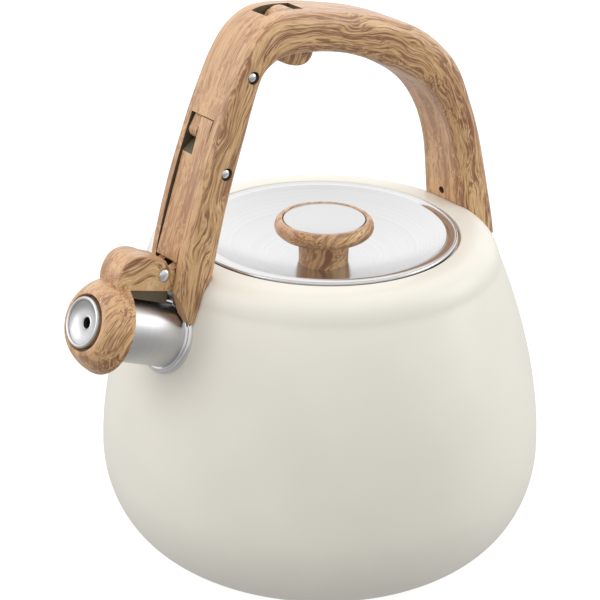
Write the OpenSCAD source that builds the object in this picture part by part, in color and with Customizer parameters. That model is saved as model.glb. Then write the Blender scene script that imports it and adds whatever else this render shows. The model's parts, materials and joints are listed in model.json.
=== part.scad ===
// Stovetop whistling kettle: steel body, loop handle with a squeeze trigger,
// a push rod down the front leg, and a whistle cap that flips up off the spout.
// Origin: centre of the base on the hob. +Z up, spout towards -X, rear leg towards +X.

/* [Body] */
// Largest radius of the body
belly_r = 95; // [93:0.5:96]
// Height at which the body is widest
belly_z = 45; // [43:1:47]
// Radius of the rounded foot of the body
base_r = 61; // [59:0.5:62]
// Height of the flat top around the lid
top_z = 141.6; // [141.6:0.1:141.8]
// Thickness of the body wall
wall = 1.2; // [1.0:0.1:1.4]
// Radius of the filling mouth
mouth_r = 50; // [49.8:0.1:50.2]

/* [Lid and knob] */
// Radius of the rolled lid rim
lid_r = 56.3; // [56:0.1:56.4]
// Radius at which the dish starts to sink
dish_r = 51.7; // [51:0.1:52]
// Depth of the dish at its centre
dish_depth = 14.6; // [13.5:0.1:15]
// Radius of the knob
knob_r = 21; // [20:0.1:22]
// Radius of the steel disc in the knob
knob_disc_r = 17.3; // [16.5:0.1:17.5]
// Radius of the knob's neck where it meets the dish
neck_r = 10.5; // [10:0.1:11]
// How far the lid lifts before its rim meets the handle
lid_lift = 30; // [10:1:30]

/* [Spout] */
// Upward tilt of the spout
spout_tilt = 22.5; // [22:0.1:23]
// Outer radius of the spout tube
spout_r = 13.3; // [13:0.1:13.5]
// Length of the spout tube from the collar's centre
spout_len = 34.2; // [33.5:0.1:34.4]
// Outer radius of the polished collar
collar_r = 16; // [15.5:0.1:16.2]

/* [Handle] */
// Width of the handle across the kettle
handle_w = 28; // [27:0.5:29]
// Radius of the handle's rounded edges
edge_r = 5.5; // [5:0.25:6]
// Width of the channel in the front leg
channel_w = 15; // [14.8:0.1:15.2]
// Width of the trigger slot through the arch
slot_w = 10; // [9.8:0.1:10.4]

/* [Mechanism] */
// Angle that the trigger turns through
trigger_open = 8; // [7:0.5:8]
// Angle that the whistle cap opens to
cap_open = 44; // [40:1:44]
// Lean of the front leg's channel from upright
leg_lean = 18; // [17.8:0.1:18.2]
// Radius of the trigger's pin and the guide pin
pin_r = 1.9; // [1.8:0.05:1.9]

/* [Whistle] */
// Radius of the ball that the cap is cut from
cap_r = 20.2; // [20:0.1:20.4]
// Radius of the whistle's front plate
whistle_r = 10.2; // [10:0.1:10.3]
// Radius of the whistle's sounding holes
whistle_hole_r = 2.25; // [2:0.05:2.5]

/* [Hidden] */
$fn = 96;

cream = "#e9e6dc";
wood = "#cda878";
steel = "#c8cacc";
polished = "#dfe1e3";
alloy = "#b9bcc0";

// --- general helpers ---------------------------------------------------
function bezier(p, t) =
    pow(1 - t, 3) * p[0] + 3 * t * pow(1 - t, 2) * p[1]
    + 3 * t * t * (1 - t) * p[2] + t * t * t * p[3];
function curve(p, n) = [for (i = [0:n - 1]) bezier(p, i / n)];
function arc(c, r, a0, a1, n) =
    [for (i = [0:n]) c + r * [cos(a0 + (a1 - a0) * i / n), sin(a0 + (a1 - a0) * i / n)]];
function reversed(v) = [for (i = [len(v) - 1:-1:0]) v[i]];

// A shape drawn in the X-Z plane, made w wide about the plane y = mid
module across(w, mid = 0) translate([0, mid, 0]) rotate([90, 0, 0])
    linear_extrude(w, center = true) children();

// A straight bar of width w from p to q, with square ends
module bar(p, q, w) translate(p) rotate(atan2(q.y - p.y, q.x - p.x))
    translate([0, -w / 2]) square([norm(q - p), w]);

// --- body ----------------------------------------------------------------
foot_z = 1.2;
shoulder_r = 74.7;
shoulder_z = 131;
rim_r = 57.4;
lower_curve = [[base_r, foot_z], [base_r + 25, foot_z + 2.8], [belly_r, 28], [belly_r, belly_z]];
flank_curve = [[belly_r, belly_z], [belly_r, 78], [83, 112], [shoulder_r, shoulder_z]];
shoulder_curve = [[shoulder_r, shoulder_z], [73.4, 136.5], [71.3, top_z], [62, top_z]];
body_outline = concat(curve(lower_curve, 12), curve(flank_curve, 14), curve(shoulder_curve, 10),
    [[62, top_z], [rim_r + 0.8, top_z], [rim_r, top_z - 0.8]]);

// The whole body as one solid, used to trim what is welded to it
module body_solid()
    rotate_extrude($fn = 128) polygon(concat(body_outline, [[0, top_z - 0.8], [0, foot_z]]));

// The shoulder that the handle's feet sit over, a little larger than the body
saddle_gap = 0.3;
saddle = concat([[0, 90], [90, 90]],
    [for (t = [0.6, 0.8, 1]) bezier(flank_curve, t) + [saddle_gap, saddle_gap / 3]],
    [for (t = [0.35, 0.7, 1]) bezier(shoulder_curve, t) + [saddle_gap / 2, saddle_gap]],
    [[0, top_z + saddle_gap]]);
module saddle_solid() rotate_extrude($fn = 128) polygon(saddle);

// The underside is stepped up to make room for the core of the base
cap_base_r = 58;
core_r = cap_base_r - 1.6;
core_top = 4.2;
core_step = [[core_r, core_top], [core_r, foot_z]];
module body_section() difference() {
    polygon(concat(core_step, body_outline, [[rim_r, top_z - 2.4], [0, top_z - 2.4], [0, core_top]]));
    offset(delta = -wall) polygon(concat(core_step, body_outline, [[rim_r, top_z + 9], [-9, top_z + 9], [-9, core_top]]));
    translate([0, shoulder_z]) square([rim_r, 20]);
}
// Height of the weld between the drawn body and its bottom pan
weld_z = 16;
module body_shell() color(cream) difference() {
    rotate_extrude($fn = 128) difference() {
        body_section();
        square([100, weld_z]);
    }
    on_spout() translate([0, 0, -12]) cylinder(r = spout_r, h = 40);
}
module body_floor() color(cream) rotate_extrude($fn = 128) intersection() {
    body_section();
    square([100, weld_z]);
}

// --- mouth ring: the steel seat that the lid rests on ----------------------
seat_z = top_z - 1.3;
module mouth_ring() color(polished) rotate_extrude($fn = 128) polygon([
    [mouth_r, seat_z - 7], [mouth_r + 1, seat_z - 7], [mouth_r + 1, seat_z - 3], [mouth_r + 2.9, seat_z - 1.1],
    [rim_r, seat_z - 1.1], [rim_r, seat_z], [mouth_r + 2.4, seat_z], [mouth_r, seat_z - 2.4]]);

// --- base: an aluminium core held by a pressed steel cap ------------------
module base_core() color(alloy) translate([0, 0, 0.6]) cylinder(r = core_r, h = core_top - 0.6, $fn = 128);
module base_cap() color(steel) rotate_extrude($fn = 128) polygon([
    [0, 0], [cap_base_r - 1, 0], [cap_base_r, 0.8], [cap_base_r, foot_z],
    [core_r, foot_z], [core_r, 0.6], [0, 0.6]]);

// --- spout -------------------------------------------------------------
spout_at = [-79.4, 0, 114.8];
module on_spout() translate(spout_at) rotate([0, spout_tilt - 90, 0]) children();

module spout_tube() color(steel) on_spout() difference() {
    translate([0, 0, -5]) cylinder(r = spout_r, h = spout_len + 5);
    translate([0, 0, -6]) cylinder(r = spout_r - 1.2, h = spout_len + 7);
}

module spout_collar() color(polished) difference() {
    on_spout() rotate_extrude() polygon(concat(
        [[spout_r, -4]], [[collar_r, -4]],
        arc([collar_r - 1.3, 0.9], 1.3, 0, 80, 5),
        arc([spout_r + 0.75, 2.45], 0.75, 20, 100, 4), [[spout_r, 3.1]]));
    body_solid();
}

// --- front leg frame: x is depth behind the hinge pin, z runs up the channel ---
hinge_at = [-85.5, 0, 145];
module on_leg() translate(hinge_at) rotate([0, leg_lean, 0]) children();
leg_in = [cos(leg_lean), -sin(leg_lean)];
leg_up = [sin(leg_lean), cos(leg_lean)];
hinge = [hinge_at.x, hinge_at.z];
function leg_point(x, z) = hinge + x * leg_in + z * leg_up;

rod_face = 3.9;
rod_t = 7;
rod_w = channel_w - 1;
rod_top = 63.6;
tail_l = 7.5;
tail_r = 2.4;
tail = tail_l * [cos(cap_open / 2), sin(cap_open / 2)];
rod_travel = 2 * tail_l * sin(cap_open / 2);
rod_bottom = tail.y + tail_r + 0.2;
guide = [11.95, 44.8];
rib_half = 3;
rib_back = guide.x + pin_r + 1.3;
trigger_at = [-47.5, 220.8];
nose_at = [-61.3, 197.5];
nose_r = 3;

// --- handle ----------------------------------------------------------------
// Outer and inner edge of the handle in the X-Z plane, from the front foot to the rear foot
edges = [
    [[-88, 121], [-70, 117]], [[-82.2, 137.5], [-66.5, 133]], [[-78.6, 154], [-63, 149.5]],
    [[-72.4, 176], [-57.4, 171.5]], [[-64, 199], [-49.8, 195]], [[-57.6, 214], [-45, 209.5]],
    [[-50, 228.5], [-41.5, 218.5]], [[-42, 237.5], [-37, 222.8]], [[-31, 242.2], [-30, 225.2]],
    [[-14, 241], [-16, 224.6]], [[2, 237.9], [-2, 222]], [[18, 233.9], [11, 217.5]],
    [[36, 227], [27.5, 209.5]], [[50, 217.8], [41, 201.5]], [[61.5, 205.5], [50.5, 192.5]],
    [[69.5, 189], [57.5, 181.5]], [[75.3, 174], [62, 169.5]], [[79.6, 159], [64.2, 157.5]],
    [[83.3, 144.5], [65.5, 145]], [[86.4, 132], [67, 133]], [[89, 119], [68, 119]]];
steps = 3;

// Smooth curve through the listed edge points
function hermite(a, b, c, d, t) = b + 0.5 * t * (c - a
    + t * (2 * a - 5 * b + 4 * c - d + t * (3 * (b - c) + d - a)));
function edge_at(i, k) = edges[max(0, min(len(edges) - 1, i))][k];
function edge_curve(k) = [for (i = [0:len(edges) - 2], s = [0:steps - 1])
    hermite(edge_at(i - 1, k), edge_at(i, k), edge_at(i + 1, k), edge_at(i + 2, k), s / steps)];
handle_outline = concat(edge_curve(0), [edge_at(len(edges), 0), edge_at(len(edges), 1)], reversed(edge_curve(1)));

// Slabs that narrow towards each side stand in for the rounded edges
module handle_bar() {
    layers = 4;
    for (i = [0:layers]) {
        a = 90 * i / (layers + 1);
        across(handle_w - 2 * edge_r * (1 - sin(a + 8)))
            offset(delta = -edge_r * (1 - cos(a))) polygon(handle_outline);
    }
}

module trigger_space() {
    for (a = [0, trigger_open / 2, trigger_open])
        translate(trigger_at) rotate(a) translate(-trigger_at) offset(delta = 0.6) trigger_back();
    translate([-35, 230]) square([18, 20]);
    translate([-35.5, 214]) square([25.9, 18]);
}
module nose_space() for (a = [0, trigger_open / 2, trigger_open])
    translate(trigger_at) rotate(a) translate(-trigger_at) offset(delta = 0.5) trigger_nose();

// The trigger's pin and the guide pin end in domed heads, sunk in the sides of the handle
pin_half = handle_w / 2 - 1.9;
pin_head_r = 2.45;
module handle() color(wood) difference() {
    handle_bar();
    saddle_solid();
    // room for the collar and the root of the spout
    on_spout() translate([0, 0, -20]) cylinder(r = collar_r + 0.5, h = 23.6);
    on_spout() translate([0, 0, -20]) cylinder(r = spout_r + 0.7, h = 50);
    // feet cut level, with the front toe taken back
    translate([-120, -40, 100]) cube([240, 80, 24.4]);
    translate([-76, -40, 112]) rotate([0, -14, 0]) translate([-16, 0, 0]) cube([16, 80, 25.8]);
    // channel for the rod, and the deeper groove for its rib and spring
    on_leg() translate([-12, -channel_w / 2, -40]) cube([12 + rod_face + rod_t + 0.4, channel_w, 40 + rod_top + 0.4]);
    on_leg() translate([rod_face, -rib_half - 0.3, guide.y - 10.5]) cube([rib_back + 0.4 - rod_face, 2 * rib_half + 0.6, 22]);
    on_leg() translate([spring_x, 0, spring_z0]) cylinder(r = spring_r + 0.3, h = 20);
    // pocket for the bracket
    on_leg() translate([-4, -2.15, -30]) cube([24, 4.3, 29.3]);
    on_leg() translate([12.2, -6.2, -30]) cube([3.8, 12.4, 50.3]);
    // trigger pocket and the nose's way into the channel
    across(slot_w) trigger_space();
    across(6.8, 3.9) nose_space();
    // pin holes, counterbored
    for (p = [trigger_at, leg_point(guide.x, guide.y)]) translate([p.x, 0, p.y]) rotate([90, 0, 0]) {
        cylinder(r = pin_r, h = 40, center = true);
        for (s = [-1, 1]) translate([0, 0, s * (pin_half + 4.9)]) cylinder(r = pin_head_r + 0.3, h = 10, center = true);
    }
    // screw holes in the inner faces
    on_leg() translate([10, 0, screw_up]) rotate([0, 90, 0]) cylinder(r = screw_r + 0.1, h = 20);
    translate([60, 0, rear_screw_z]) rotate([0, 90, 0]) cylinder(r = screw_r + 0.1, h = 16);
    // pocket for the rear bracket
    translate([71.8, -7.2, 110]) cube([2.4, 14.4, 44.5]);
}

// --- brackets, screws and pins -----------------------------------------------
screw_r = 1.5;
screw_up = 12;
rear_screw_z = 145;
lug_r = 3.2;

module front_bracket() color(steel) difference() {
    union() {
        across(4) difference() {
            union() {
                translate(hinge) circle(r = lug_r);
                polygon([leg_point(-1.6, -2.7), leg_point(2.9, -0.9), leg_point(14, -0.9),
                    leg_point(21, -12), leg_point(12.5, -12), leg_point(8, -5.4), leg_point(1.5, -5.4)]);
            }
            translate(hinge) circle(r = 1.5);
        }
        on_leg() translate([12.4, -6, -12]) cube([3.2, 12, 32]);
    }
    body_solid();
    on_spout() translate([0, 0, -20]) cylinder(r = collar_r + 0.2, h = 22.6);
    on_leg() translate([8, 0, screw_up]) rotate([0, 90, 0]) cylinder(r = screw_r, h = 12);
}
module rear_bracket() color(steel) difference() {
    translate([72, -7, 120]) cube([2, 14, 34]);
    body_solid();
    translate([60, 0, rear_screw_z]) rotate([0, 90, 0]) cylinder(r = screw_r, h = 18);
}
module front_screw() color(steel) on_leg() translate([12.4, 0, screw_up]) rotate([0, 90, 0]) cylinder(r = screw_r, h = 3.6);
module rear_screw() color(steel) translate([67.5, 0, rear_screw_z]) rotate([0, 90, 0]) cylinder(r = screw_r, h = 6.5);

module cross_pin(p, r, half) translate([p.x, 0, p.y]) rotate([90, 0, 0]) cylinder(r = r, h = 2 * half, center = true);
module headed_pin(p, r, half, head_r, head_h) color(polished) {
    cross_pin(p, r, half);
    for (s = [-1, 1]) translate([p.x, 0, p.y]) rotate([s * 90, 0, 0])
        translate([0, 0, half]) rotate_extrude() polygon(concat([[0, 0]],
            [for (i = [0:6]) [head_r * cos(i * 15), head_h * sin(i * 15)]]));
}
module trigger_pin() headed_pin(trigger_at, pin_r, pin_half, pin_head_r, 1.7);
module guide_pin() headed_pin(leg_point(guide.x, guide.y), pin_r, pin_half, pin_head_r, 1.7);
hinge_pin_r = 1.5;
arm_half = 7;
module hinge_pin() headed_pin(hinge, hinge_pin_r, arm_half + 0.1, 2.7, 1.1);

// --- return spring in the front leg -----------------------------------------
spring_x = 13.6;
spring_r = 2.4;
spring_z0 = 22.3;
spring_z1 = 40.4;
wire_r = 0.4;
coils = 7;
module return_spring() color(steel) on_leg() translate([spring_x, 0, spring_z0 + wire_r]) {
    n = coils * 12;
    s = 6;
    rise = spring_z1 - spring_z0 - 2 * wire_r;
    m = spring_r - wire_r;
    points = [for (i = [0:n], j = [0:s - 1])
        let (a = i * 360 / 12, b = j * 360 / s, r = m + wire_r * cos(b))
        [r * cos(a), r * sin(a), rise * i / n + wire_r * sin(b)]];
    sides = [for (i = [0:n - 1], j = [0:s - 1]) let (k = (j + 1) % s) each [
        [i * s + j, i * s + k, (i + 1) * s + j], [i * s + k, (i + 1) * s + k, (i + 1) * s + j]]];
    ends = [[for (j = [s - 1:-1:0]) j], [for (j = [0:s - 1]) n * s + j]];
    polyhedron(points, concat(sides, ends), convexity = 20);
}

// --- lid ---------------------------------------------------------------------
lid_z = seat_z + 0.9;
dish_t = 0.8;
function dish_z(r) = lid_z - dish_depth * (1 - pow(r / dish_r, 2));
dish_top = [for (i = [0:16]) let (r = dish_r * i / 16) [r, dish_z(r)]];
dish_low = [for (i = [16:-1:0]) let (r = dish_r * i / 16) [r, dish_z(r) - dish_t]];
module lid_dish() color(steel) difference() {
    rotate_extrude($fn = 128) union() {
        polygon(concat(dish_top, [[lid_r - 1.2, lid_z]],
            arc([lid_r - 0.5, lid_z + 0.05], 0.5, 150, -90, 6), dish_low));
    }
    translate([0, 0, 100]) cylinder(r = 2.1, h = 40);
}
skirt_r = mouth_r - 0.6;
module lid_skirt() color(steel) rotate_extrude($fn = 128) polygon([
    [skirt_r - 0.8, seat_z - 13], [skirt_r, seat_z - 12.4],
    [skirt_r, dish_z(skirt_r) - dish_t], [skirt_r - 0.8, dish_z(skirt_r - 0.8) - dish_t]]);

neck_z = dish_z(neck_r);
knob_z = neck_z + 11.8;
knob_h = 8.2;
module knob_neck() color(wood) difference() {
    rotate_extrude() polygon([[0, neck_z], [neck_r, neck_z], [neck_r + 0.2, neck_z + 6],
        [neck_r + 0.8, knob_z], [0, knob_z]]);
    translate([0, 0, neck_z - 1]) cylinder(r = 2, h = 9);
}
module knob_rim() color(wood) rotate_extrude() polygon(concat(
    [[0, knob_z], [knob_r - 6, knob_z]],
    [for (i = [0:8]) let (a = -90 + i * 22.5) [knob_r - 4 + 4 * cos(a), knob_z + 4.3 + 3.9 * sin(a)]],
    [[knob_disc_r + 0.5, knob_z + knob_h - 0.1], [knob_disc_r + 0.3, knob_z + knob_h - 2], [0, knob_z + knob_h - 2]]));
module knob_disc() color(steel) translate([0, 0, knob_z + knob_h - 2]) rotate_extrude() polygon([
    [0, 0], [knob_disc_r, 0], [knob_disc_r, 1.2], [knob_disc_r - 0.4, 1.6], [knob_disc_r - 1, 1.4], [0, 1.4]]);
module knob_washer() color(steel) translate([0, 0, dish_z(0) - dish_t - 0.9]) difference() {
    cylinder(r = 6, h = 0.9);
    translate([0, 0, -1]) cylinder(r = 2.1, h = 4);
}
module knob_screw() color(polished) translate([0, 0, dish_z(0) - dish_t - 0.9]) {
    cylinder(r = 2, h = neck_z + 7 - (dish_z(0) - dish_t - 0.9));
    rotate([180, 0, 0]) rotate_extrude() polygon(concat([[0, 0]], [for (i = [0:6]) [4 * cos(i * 15), 2.2 * sin(i * 15)]]));
}

// --- trigger -------------------------------------------------------------
// The part of the trigger between the slot walls
module trigger_back() {
    translate(trigger_at) circle(r = 4.2);
    bar(trigger_at, [-29, 231], 6.4);
    polygon(concat(
        [[-32, 226.5], [-28.5, 222.2]],
        curve([[-28.5, 222.2], [-23, 218.2], [-12.4, 214.6], [-10.8, 223]], 8),
        [[-10.8, 223], [-11.6, 228], [-18.6, 236]],
        curve([[-18.6, 238.2], [-22, 241.4], [-30, 241.4], [-32, 232]], 8)));
}
// The nose that reaches down into the channel beside the rod's upper end
module trigger_nose() {
    translate(trigger_at) circle(r = 4.2);
    bar(trigger_at, nose_at, 5);
    translate(nose_at) circle(r = nose_r);
}
module trigger_lever() color(wood) difference() {
    union() {
        across(slot_w - 1) trigger_back();
        across(5.6, 3.9) trigger_nose();
    }
    cross_pin(trigger_at, pin_r + 0.05, 20);
}

// --- push rod -----------------------------------------------------------
// The nose moves along this ramp as it drives the rod down
nose_rel = nose_at - trigger_at;
function turned(v, a) = [v.x * cos(a) - v.y * sin(a), v.x * sin(a) + v.y * cos(a)];
nose_shift = turned(nose_rel, trigger_open) - nose_rel + rod_travel * leg_up;
ramp_a = atan2(nose_shift.y, nose_shift.x);
ramp_at = nose_at + (nose_r + 0.25) * [sin(ramp_a), -cos(ramp_a)];
module push_rod() color(wood) difference() {
    union() {
        on_leg() translate([rod_face, -rod_w / 2, rod_bottom]) cube([rod_t, rod_w, rod_top - rod_bottom]);
        on_leg() translate([rod_face + 1, -rib_half, guide.y - 4.2]) cube([rib_back - rod_face - 1, 2 * rib_half, 12.6]);
    }
    // window for the trigger's nose, floored by the ramp
    across(20, 10.4) polygon([ramp_at - 30 * [cos(ramp_a), sin(ramp_a)], ramp_at + 30 * [cos(ramp_a), sin(ramp_a)],
        ramp_at + 30 * [cos(ramp_a), sin(ramp_a)] + [-20, 30], ramp_at - 30 * [cos(ramp_a), sin(ramp_a)] + [-20, 30]]);
    // slot that runs on the guide pin
    on_leg() translate([guide.x, 0, guide.y]) rotate([90, 0, 0]) {
        for (z = [0, rod_travel]) translate([0, z, 0]) cylinder(r = pin_r + 0.08, h = 20, center = true);
        translate([-pin_r - 0.08, 0, -10]) cube([2 * pin_r + 0.16, rod_travel, 20]);
    }
}

// --- whistle cap and its arm -------------------------------------------------
cap_mid = 26.9;
cap_back = 31.7;
cap_front = 42.7;
liner_r = 15.2;
liner_front = 37.4;
function ball(u) = sqrt(cap_r * cap_r - (u - cap_mid) * (u - cap_mid));
cap_outline = [for (i = [0:12]) let (u = cap_back + (cap_front - cap_back) * i / 12) [ball(u), u]];
// notch that clears the rod's lower corner when the cap is open
notch = turned([rod_face - 0.35, rod_bottom - rod_travel - 0.35], cap_open);
notch_up = notch + 5.2 * [-sin(cap_open), cos(cap_open)];
tail_top = turned([tail_r, 0], 118);
arm_line = concat(
    curve([[-107, 145.5], [-105.5, 156], [-97.5, 158.8], [-88, 152]], 12),
    [leg_point(notch_up.x, notch_up.y), leg_point(notch.x, notch.y)],
    [for (i = [0:8]) let (a = 100 - i * 20) leg_point(tail.x + tail_r * cos(a), tail.y + tail_r * sin(a))],
    [[-79.6, 137], [-81.5, 136.9], [-101, 142.2], [-106, 133]]);
module whistle_cap() color(wood) difference() {
    union() {
        on_spout() rotate_extrude() polygon(concat([[0, cap_back]], cap_outline, [[0, cap_front]]));
        difference() {
            union() {
                across(2 * arm_half) polygon(arm_line);
                across(12) polygon([[-84, 138], [-84, 132.1], [-103.5, 140.1], [-103.5, 143]]);
            }
            on_spout() translate([0, 0, cap_back + 1]) cylinder(r = 15.8, h = 30);
        }
    }
    // hollow for the liner, and the seat of the whistle
    on_spout() translate([0, 0, 10]) cylinder(r = liner_r, h = liner_front - 10);
    on_spout() translate([0, 0, 30]) cylinder(r = whistle_r + 1.1, h = 30);
    // slot for the hinge lug and its swing
    across(5.2) {
        translate(hinge) circle(r = 3.7);
        polygon([leg_point(-3.4, -2), leg_point(-2, -16), leg_point(30, -16), leg_point(30, 29.5), leg_point(2.3, 1.9)]);
    }
    cross_pin(hinge, hinge_pin_r + 0.05, 20);
}
module cap_liner() color(polished) on_spout() rotate_extrude() polygon([
    [liner_r - 0.8, 32.4], [liner_r, 32.4], [liner_r, liner_front], [whistle_r + 0.1, liner_front],
    [whistle_r + 0.1, liner_front - 0.8], [liner_r - 0.8, liner_front - 0.8]]);
module whistle_front_plate() color(polished) on_spout() rotate_extrude() polygon(concat(
    [[whistle_hole_r, 42.4], [whistle_hole_r + 0.5, 43.1]],
    [for (i = [1:6]) let (r = whistle_hole_r + 0.5 + i) [r, 43.1 + 0.02 * i * i]],
    arc([whistle_r - 0.6, 43.7], 0.6, 170, 0, 6),
    [[whistle_r, 36.8], [whistle_r - 0.7, 36.8], [whistle_r - 0.7, 42.9], [whistle_r - 2, 42.6]]));
module whistle_rear_plate() color(steel) on_spout() translate([0, 0, 39.4]) difference() {
    cylinder(r = whistle_r - 0.7, h = 0.7);
    translate([0, 0, -1]) cylinder(r = whistle_hole_r, h = 3);
}

body_shell();
body_floor();
mouth_ring();
base_core();
base_cap();
spout_tube();
spout_collar();
handle();
front_bracket();
rear_bracket();
front_screw();
rear_screw();
trigger_pin();
guide_pin();
hinge_pin();
return_spring();
lid_dish();
lid_skirt();
knob_neck();
knob_rim();
knob_disc();
knob_screw();
knob_washer();
trigger_lever();
push_rod();
whistle_cap();
cap_liner();
whistle_front_plate();
whistle_rear_plate();
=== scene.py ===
"""Stovetop whistling kettle: the visible pieces and finishes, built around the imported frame."""
import json
import math

import bmesh
import bpy
from bpy.props import FloatProperty, FloatVectorProperty, PointerProperty
from mathutils import Matrix, Vector
from mathutils.geometry import convex_hull_2d


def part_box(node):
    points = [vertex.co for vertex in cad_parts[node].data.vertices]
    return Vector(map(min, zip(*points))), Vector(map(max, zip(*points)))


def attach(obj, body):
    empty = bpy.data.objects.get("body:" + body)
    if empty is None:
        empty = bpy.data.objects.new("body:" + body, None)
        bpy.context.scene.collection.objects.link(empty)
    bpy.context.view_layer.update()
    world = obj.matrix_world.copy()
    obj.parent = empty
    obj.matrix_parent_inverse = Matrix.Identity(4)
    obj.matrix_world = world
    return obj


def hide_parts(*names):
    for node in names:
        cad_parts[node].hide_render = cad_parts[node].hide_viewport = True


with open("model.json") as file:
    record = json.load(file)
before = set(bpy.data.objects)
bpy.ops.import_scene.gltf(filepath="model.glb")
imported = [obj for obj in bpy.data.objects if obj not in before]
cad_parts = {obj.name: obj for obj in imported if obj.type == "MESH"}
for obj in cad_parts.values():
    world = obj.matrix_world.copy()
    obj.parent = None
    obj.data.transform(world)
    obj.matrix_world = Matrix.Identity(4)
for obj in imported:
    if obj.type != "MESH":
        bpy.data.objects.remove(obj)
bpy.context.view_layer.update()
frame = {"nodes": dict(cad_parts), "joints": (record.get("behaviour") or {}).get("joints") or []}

bl_info = {
    "name": "Whistling kettle",
    "version": (1, 0, 0),
    "blender": (4, 5, 0),
    "location": "3D View > Sidebar > Kettle",
    "description": "Builds a whistling kettle's visible pieces around its packed frame",
    "category": "Add Mesh",
}

MM = 0.001
FULL_TURN = 2 * math.pi

# ---- places and sizes taken from the frame ----
JOINTS = {joint["name"]: joint for joint in frame["joints"]}
CAP_HINGE = Vector(JOINTS["cap_hinge"]["pos_m"])
TRIGGER_PIVOT = Vector(JOINTS["trigger_pivot"]["pos_m"])
ROD_DOWN = Vector(JOINTS["rod_slide"]["axis"])
LEG_LEAN = math.atan2(-ROD_DOWN.x, -ROD_DOWN.z)
ROD_TRAVEL = JOINTS["rod_slide"]["range_m"][1]
TRIGGER_TURN = math.radians(JOINTS["trigger_pivot"]["range_deg"][1])
CAP_TURN = math.radians(JOINTS["cap_hinge"]["range_deg"][1])


def mm(*values):
    """A point or an offset given in millimetres, in metres."""
    return Vector([value * MM for value in values])


def high(node, axis):
    """The frame's largest coordinate of a node along an axis."""
    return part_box(node)[1][axis]


def low(node, axis):
    """The frame's smallest coordinate of a node along an axis."""
    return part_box(node)[0][axis]


TOP_Z = high("body_shell", 2)
FOOT_Z = low("body_floor", 2)
BELLY_R = high("body_shell", 0)
LID_R = high("lid_dish", 1)
LID_Z = high("lid_dish", 2)
SEAT_Z = high("mouth_ring", 2)
RIM_R = high("mouth_ring", 1)
BASE_CAP_R = high("base_cap", 1)
KNOB_R = high("knob_rim", 1)
KNOB_TOP = high("knob_rim", 2)
KNOB_LOW = low("knob_rim", 2)
DISC_R = high("knob_disc", 1)
COLLAR_R = high("spout_collar", 1)
SPOUT_R = high("spout_tube", 1)
WHISTLE_R = high("whistle_front_plate", 1)
ARM_HALF = 7.0 * MM
HANDLE_HALF = 14.0 * MM
PIN_R = 1.9 * MM
PIN_HEAD_R = (high("trigger_pin", 0) - low("trigger_pin", 0)) / 2
PIN_HEAD_H = 1.7 * MM
PIN_HALF = 12.1 * MM
HINGE_PIN_R = 1.5 * MM

SPOUT_AT = Vector((-79.4, 0, 114.8)) * MM
SPOUT_TILT = math.radians(22.5)
SPOUT = Matrix.Translation(SPOUT_AT) @ Matrix.Rotation(SPOUT_TILT - math.pi / 2, 4, "Y")
LEG = Matrix.Translation(CAP_HINGE) @ Matrix.Rotation(LEG_LEAN, 4, "Y")
TO_X = Matrix.Rotation(math.pi / 2, 4, "Y")
SHARP = math.radians(35)


def shifted(place, x, y, z):
    """A place moved along its own axes, by millimetres."""
    return place @ Matrix.Translation(mm(x, y, z))


# ---- settings that a user would change ----
class KettleSizes(bpy.types.PropertyGroup):
    """Sizes that the frame leaves to the visible pieces."""
    wall: FloatProperty(
        name="Wall", description="Thickness of the body's wall",
        default=1.1 * MM, unit="LENGTH")
    dish_depth: FloatProperty(
        name="Dish depth", description="How far the lid sinks at its centre",
        default=14.6 * MM, unit="LENGTH")
    dish_r: FloatProperty(
        name="Dish radius", description="Where the lid's dish starts to sink",
        default=51.7 * MM, unit="LENGTH")
    edge_r: FloatProperty(
        name="Edge radius", description="Rounding of the handle's edges", default=5.5 * MM, unit="LENGTH")
    arm_edge: FloatProperty(
        name="Arm rounding", description="Rounding of the cap arm's edges", default=3.4 * MM, unit="LENGTH")
    turns: FloatProperty(
        name="Spring turns", description="Turns of the return spring", default=9.0)
    wire_r: FloatProperty(
        name="Wire radius", description="Radius of the spring's wire", default=0.4 * MM, unit="LENGTH")


class KettleColours(bpy.types.PropertyGroup):
    """Colours of the finishes, as linear values."""
    cream: FloatVectorProperty(
        name="Cream", description="Coating on the body", default=(0.815, 0.785, 0.700), subtype="COLOR")
    wood_light: FloatVectorProperty(
        name="Light wood", description="Palest streaks", default=(0.655, 0.395, 0.175), subtype="COLOR")
    wood_mid: FloatVectorProperty(
        name="Mid wood", description="Ground colour of the wood look",
        default=(0.450, 0.215, 0.085), subtype="COLOR")
    wood_dark: FloatVectorProperty(
        name="Dark wood", description="Darkest grain lines", default=(0.215, 0.085, 0.036), subtype="COLOR")
    steel: FloatVectorProperty(
        name="Steel", description="Bare steel", default=(0.66, 0.66, 0.665), subtype="COLOR")


# ---- curves ----
def bezier(p, t):
    """A point on the cubic curve with the control points p."""
    a, b, c, d = (Vector(q) for q in p)
    u = 1 - t
    return a * u ** 3 + b * 3 * t * u * u + c * 3 * t * t * u + d * t ** 3


def curve(p, n):
    """n points along a cubic curve, without its last point."""
    return [bezier(p, i / n) for i in range(n)]


def arc(centre, r, a0, a1, n):
    """n + 1 points round part of a circle; the angles are in degrees."""
    angles = [math.radians(a0 + (a1 - a0) * i / n) for i in range(n + 1)]
    return [Vector(centre) + Vector((r * math.cos(a), r * math.sin(a))) for a in angles]


def hermite(a, b, c, d, t):
    """A smooth curve from b to c that a and d steer."""
    return b + (c - a + (2 * a - 5 * b + 4 * c - d + (3 * (b - c) + d - a) * t) * t) * (0.5 * t)


def in_mm(points):
    """Points listed in millimetres, as vectors in metres."""
    return [Vector(p) * MM for p in points]


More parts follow.
